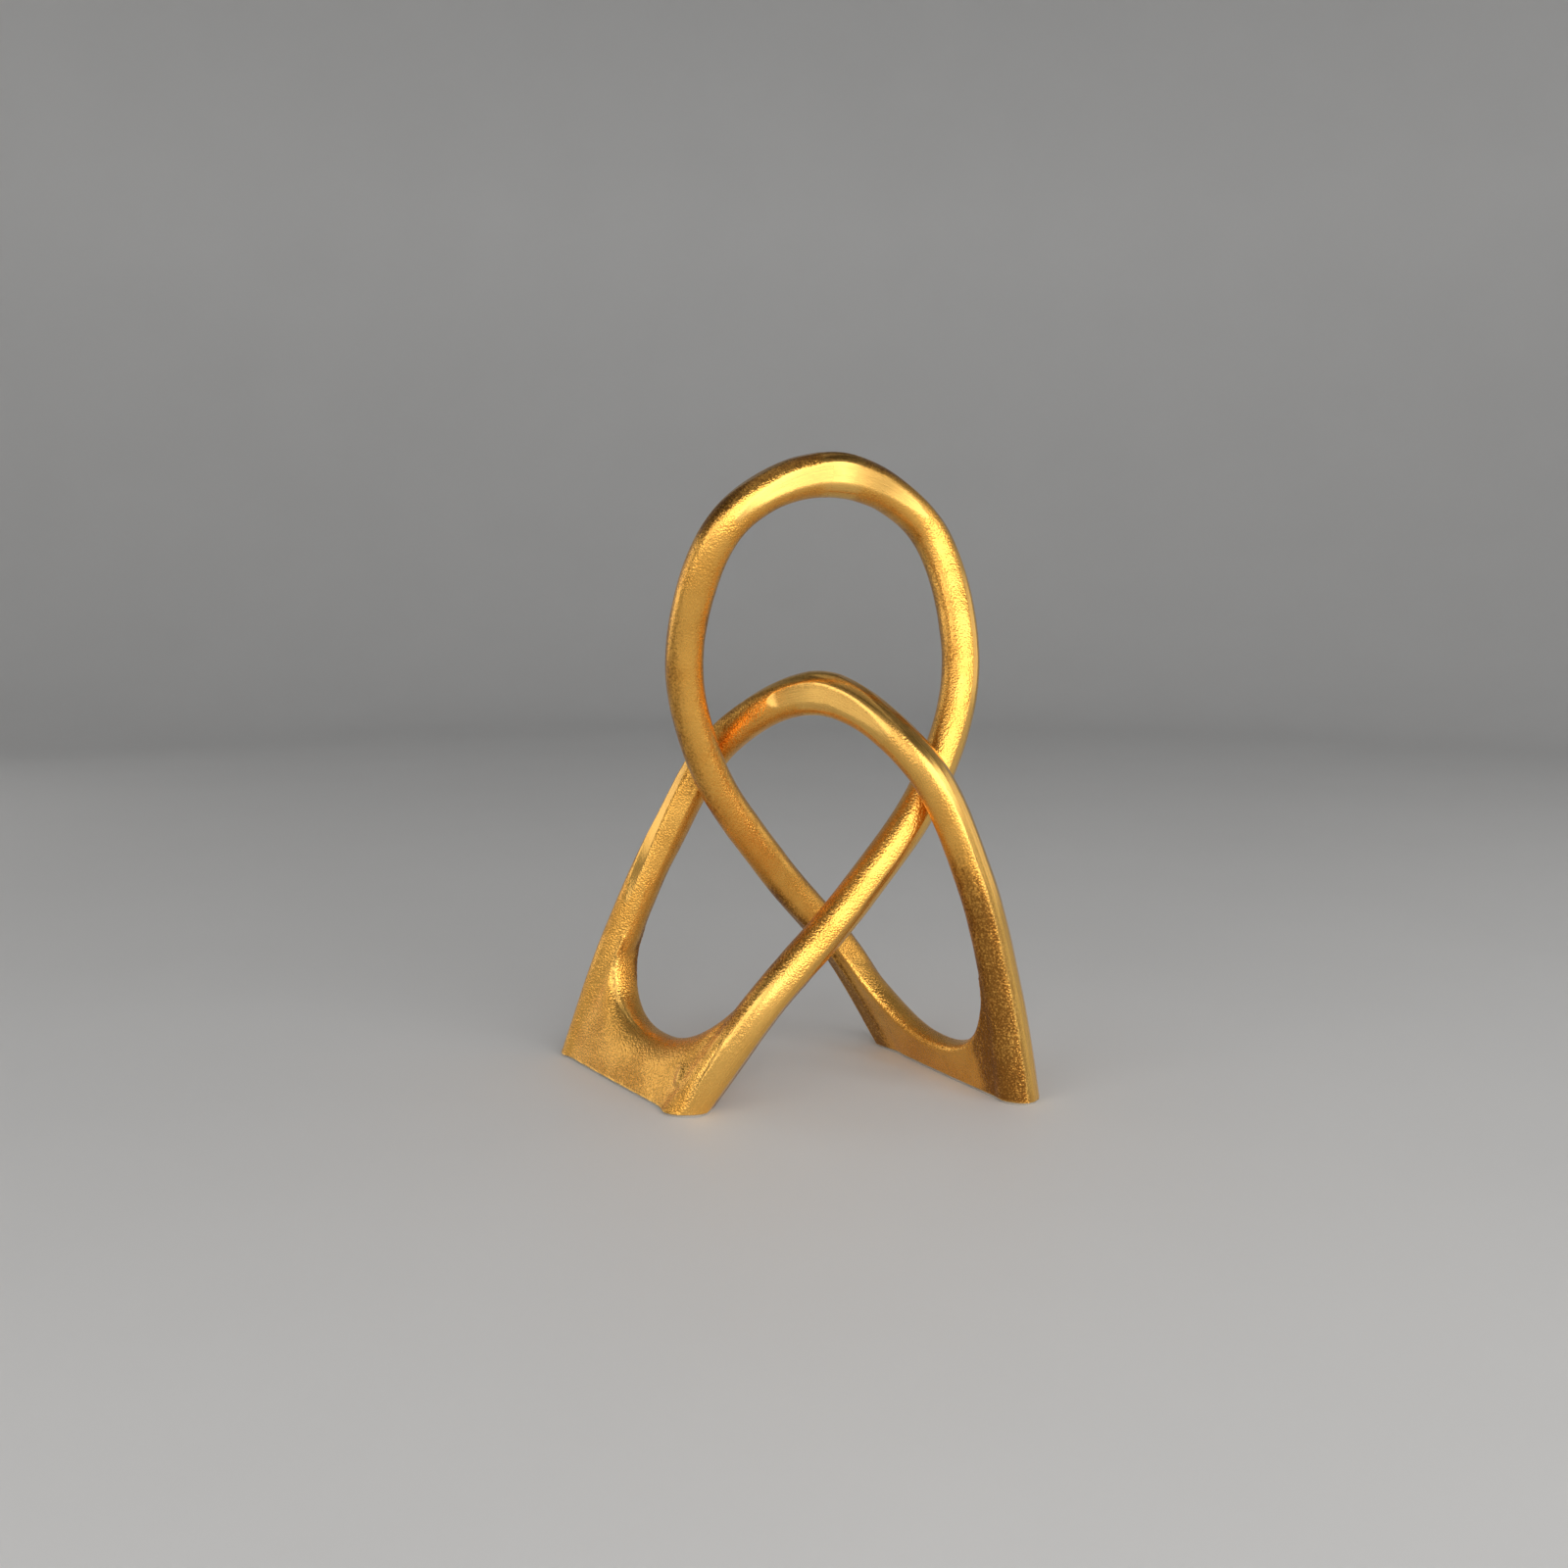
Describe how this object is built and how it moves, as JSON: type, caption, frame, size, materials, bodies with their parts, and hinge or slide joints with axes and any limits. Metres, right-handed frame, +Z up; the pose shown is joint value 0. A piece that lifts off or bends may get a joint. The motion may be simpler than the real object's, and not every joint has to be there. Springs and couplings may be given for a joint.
{
  "type": "knot sculpture",
  "caption": "Trefoil knot of heavy rough-cast gold metal bar, standing on webbed flat feet; ornament for a shelf, desk or table.",
  "frame": {"origin": "on the floor, under the middle of the whole knot's bounding box", "axes": "+Z up; +X to the right and +Y away for a viewer facing the loop, with the web of the left foot nearest"},
  "size_m": [0.219, 0.1052, 0.2796],
  "materials": {
    "cast_gold": "rough sand-cast aluminium with a gold lacquer",
    "dressed_weld": "belt-dressed weld metal under the same gold lacquer",
    "pad": "thin pale grey rubber sheet"
  },
  "bodies": {
    "root": {"left_casting": "cast_gold", "right_casting": "cast_gold", "loop_weld": "dressed_weld", "arch_weld": "dressed_weld", "left_foot_pad": "pad", "right_foot_pad": "pad"}
  },
  "joints": []
}
